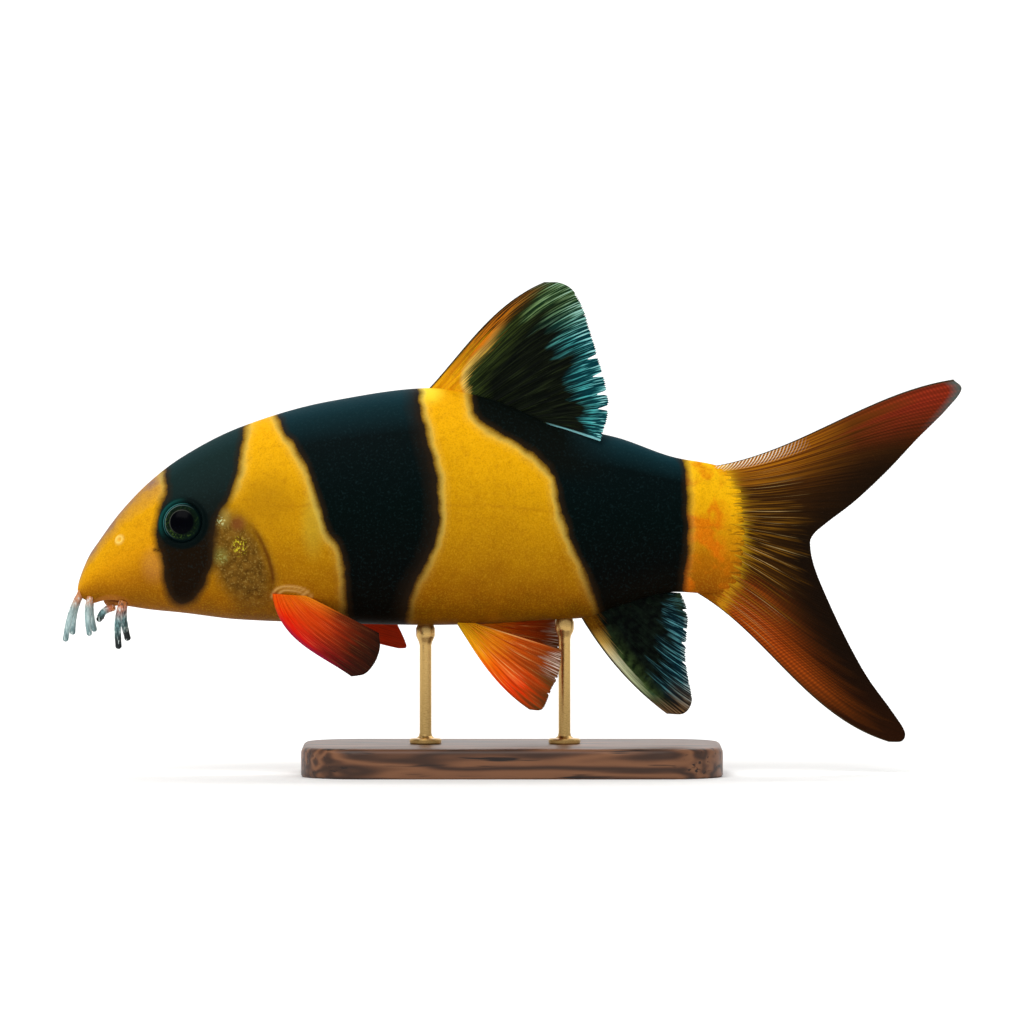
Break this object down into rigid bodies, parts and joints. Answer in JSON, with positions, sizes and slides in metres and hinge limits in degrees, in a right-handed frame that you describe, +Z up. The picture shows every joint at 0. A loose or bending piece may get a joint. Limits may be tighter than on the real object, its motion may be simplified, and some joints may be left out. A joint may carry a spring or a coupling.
{
  "type": "clown loach",
  "caption": "Freshwater fish with broad dark bands, a forked tail, a down-turned mouth with short barbels, held level over a flat base by slim rods.",
  "frame": {"origin": "centre of the underside of the stand's base, at the middle of the model's length and width", "axes": "+Z up, the fish faces -X, and its left side is towards -Y"},
  "size_m": [0.1796, 0.046, 0.0984],
  "materials": {
    "body_skin": "wet-looking golden skin with three broad blue-black bands and very fine scales",
    "gill_cover_skin": "thin glossy skin over bone, golden brown with a soft glitter",
    "eye": "clear wet dome over a blue-green iris and a black pupil",
    "barbel_skin": "soft, moist and slightly translucent",
    "dark_fin": "thin blue-black membrane with amber leading rays",
    "red_fin": "thin translucent scarlet membrane, orange at the root",
    "tail_fin": "thin translucent membrane, golden at the root and dark rust beyond",
    "stand_wood": "dark walnut, satin oiled",
    "stand_metal": "brushed and lacquered"
  },
  "bodies": {
    "root": {"anal_fin": "dark_fin", "barbel_mandibular_left": "barbel_skin", "barbel_mandibular_right": "barbel_skin", "barbel_maxillary_left": "barbel_skin", "barbel_maxillary_right": "barbel_skin", "barbel_rostral_front_left": "barbel_skin", "barbel_rostral_front_right": "barbel_skin", "barbel_rostral_rear_left": "barbel_skin", "barbel_rostral_rear_right": "barbel_skin", "dorsal_fin": "dark_fin", "eye_left": "eye", "eye_right": "eye", "gill_cover_left": "gill_cover_skin", "gill_cover_right": "gill_cover_skin", "head": "body_skin", "pectoral_fin_left": "red_fin", "pectoral_fin_right": "red_fin", "pelvic_fin_left": "red_fin", "pelvic_fin_right": "red_fin", "stand_base": "stand_wood", "stand_rod_front": "stand_metal", "stand_rod_rear": "stand_metal", "tail_fin_lower": "tail_fin", "tail_fin_upper": "tail_fin", "tail_stalk": "body_skin", "trunk": "body_skin"}
  },
  "joints": []
}
